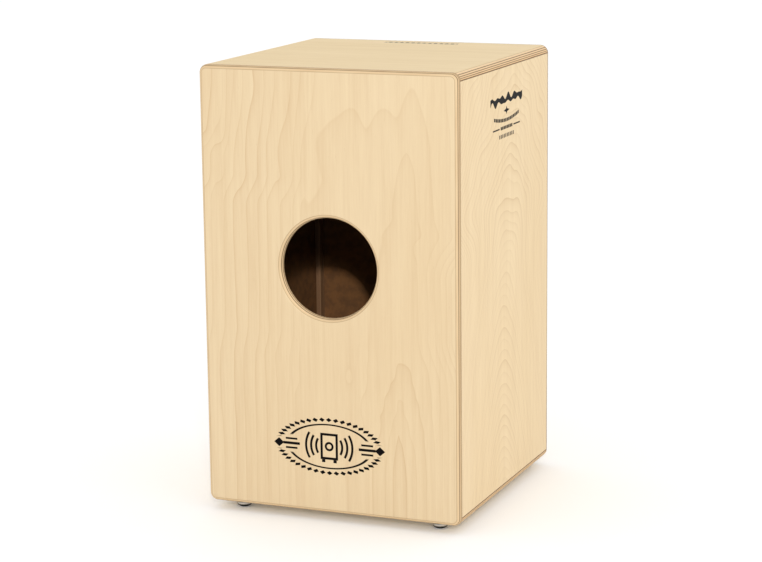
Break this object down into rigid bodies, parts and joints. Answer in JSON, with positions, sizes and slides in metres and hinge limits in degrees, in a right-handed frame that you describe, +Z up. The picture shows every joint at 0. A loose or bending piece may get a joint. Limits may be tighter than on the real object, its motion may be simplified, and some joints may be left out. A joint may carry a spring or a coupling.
{
  "type": "cajon",
  "caption": "Box drum sat on by its player: plywood body on small metal feet, thin front playing board, round sound hole at the rear, tensioned snare wires inside.",
  "frame": {"origin": "middle of the box's outline on the floor, under its feet", "axes": "+Z up; -Y towards the player's hands, out of the tapa; +Y out of the sound hole; +X to the right as seen from the tapa's side"},
  "size_m": [0.3, 0.3, 0.5],
  "materials": {
    "birch_face": "satin lacquer over pale face veneer, grain upright",
    "birch_side": "satin lacquer over pale face veneer, grain upright",
    "birch_top": "satin lacquer, grain across the box, brown end grain at the rounded ends",
    "birch_strip": "raw plywood strip",
    "beech": "raw, planed",
    "nickel": "polished nickel plate",
    "rubber": "matte black",
    "zinc_steel": "bright zinc plate",
    "black_steel": "black oxide",
    "brass": "plain machined",
    "bronze_wire": "fine bronze wrap wire over a steel core"
  },
  "bodies": {
    "box": {"rear_panel": "birch_face", "tapa": "birch_face", "left_side_panel": "birch_side", "right_side_panel": "birch_side", "top_board": "birch_top", "bottom_board": "birch_top", "left_front_batten": "birch_strip", "left_rear_batten": "birch_strip", "right_front_batten": "birch_strip", "right_rear_batten": "birch_strip", "string_rail": "beech", "tuning_block": "beech", "foot_cup_front_left": "nickel", "foot_pad_front_left": "rubber", "foot_screw_front_left": "zinc_steel", "foot_cup_front_right": "nickel", "foot_pad_front_right": "rubber", "foot_screw_front_right": "zinc_steel", "foot_cup_rear_left": "nickel", "foot_pad_rear_left": "rubber", "foot_screw_rear_left": "zinc_steel", "foot_cup_rear_right": "nickel", "foot_pad_rear_right": "rubber", "foot_screw_rear_right": "zinc_steel", "tapa_screw_01": "black_steel", "tapa_screw_02": "black_steel", "tapa_screw_03": "black_steel", "tapa_screw_04": "black_steel", "tapa_screw_05": "black_steel", "tapa_screw_06": "black_steel", "tapa_screw_07": "black_steel", "tapa_screw_08": "black_steel", "tapa_screw_09": "black_steel", "tapa_screw_10": "black_steel", "tapa_screw_11": "black_steel", "tapa_screw_12": "black_steel", "snare_string_left": "bronze_wire", "string_hook_screw_left": "zinc_steel", "tension_washer_left": "zinc_steel", "snare_string_right": "bronze_wire", "string_hook_screw_right": "zinc_steel", "tension_washer_right": "zinc_steel"},
    "left_tension_screw": {"tension_screw_left": "black_steel"},
    "left_string_anchor": {"string_anchor_left": "brass", "string_ball_left_inner": "brass", "string_ball_left_outer": "brass"},
    "right_tension_screw": {"tension_screw_right": "black_steel"},
    "right_string_anchor": {"string_anchor_right": "brass", "string_ball_right_inner": "brass", "string_ball_right_outer": "brass"}
  },
  "joints": [
    {"name": "left_tension_screw_turn", "type": "hinge", "parent": "box", "child": "left_tension_screw", "pos_m": [-0.032, -0.138, 0], "axis": [0, 0, 1], "range_deg": [-1085, 1085]},
    {"name": "left_string_anchor_slide", "type": "slide", "parent": "box", "child": "left_string_anchor", "axis": [0, 0, 1], "range_m": [-0.0024, 0.0024], "deforming": ["snare_string_left"]},
    {"name": "right_tension_screw_turn", "type": "hinge", "parent": "box", "child": "right_tension_screw", "pos_m": [0.032, -0.138, 0], "axis": [0, 0, 1], "range_deg": [-1085, 1085]},
    {"name": "right_string_anchor_slide", "type": "slide", "parent": "box", "child": "right_string_anchor", "axis": [0, 0, 1], "range_m": [-0.0024, 0.0024], "deforming": ["snare_string_right"]}
  ],
  "couplings": [
    {"joint": "left_tension_screw_turn", "follows": "left_string_anchor_slide", "rad_per_m": -7854},
    {"joint": "right_tension_screw_turn", "follows": "right_string_anchor_slide", "rad_per_m": -7854}
  ]
}
